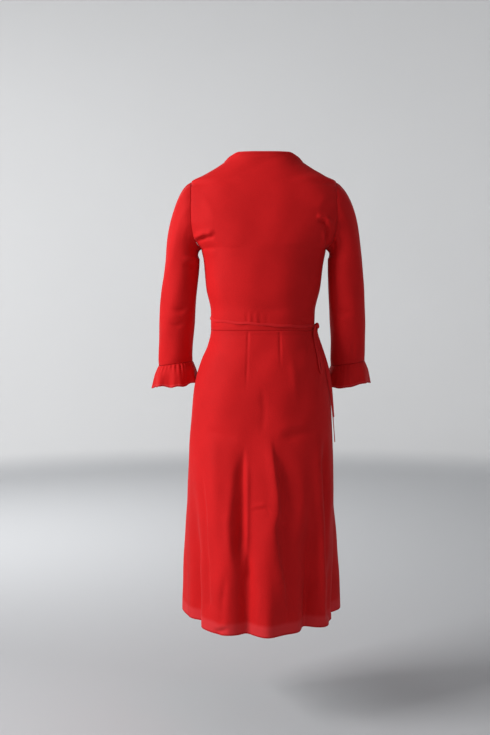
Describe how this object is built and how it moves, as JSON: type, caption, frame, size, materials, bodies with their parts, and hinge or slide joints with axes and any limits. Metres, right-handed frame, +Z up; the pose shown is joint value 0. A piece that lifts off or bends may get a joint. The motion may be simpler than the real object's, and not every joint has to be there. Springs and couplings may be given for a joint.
{
  "type": "wrap dress",
  "caption": "Worn-form crepe wrap dress with crossed fronts, three-quarter sleeves with gathered cuff ruffles, lined A-line skirt and a narrow tie in a side bow.",
  "frame": {"origin": "midway between the two points where the shoulder seams meet the neck, where the wearer's shoulders hold the dress", "axes": "+Z up; the front of the dress faces -Y; +X is the dress's own left side"},
  "size_m": [0.5372, 0.3268, 1.1155],
  "materials": {
    "crepe": "matt crinkled crepe, slightly see-through",
    "lining_cloth": "smooth plain-woven lining with a faint sheen",
    "trim": "the same crepe folded double, stitched along its edge",
    "label_cloth": "plain woven tape, blank"
  },
  "bodies": {
    "root": {"back_bodice": "crepe", "front_bodice_left": "crepe", "front_bodice_right": "crepe", "sleeve_left": "crepe", "sleeve_right": "crepe", "cuff_ruffle_left": "crepe", "cuff_ruffle_right": "crepe", "skirt_back": "crepe", "skirt_front_left": "crepe", "skirt_front_right": "crepe", "lining_back": "lining_cloth", "lining_front_left": "lining_cloth", "lining_front_right": "lining_cloth", "neck_binding_back": "trim", "neck_binding_left": "trim", "neck_binding_right": "trim", "neck_label": "label_cloth", "waist_tie_back": "trim", "waist_tie_front": "trim", "bow_knot": "trim", "bow_loop_back": "trim", "bow_loop_front": "trim", "tie_end_back": "trim", "tie_end_front": "trim"}
  },
  "joints": []
}
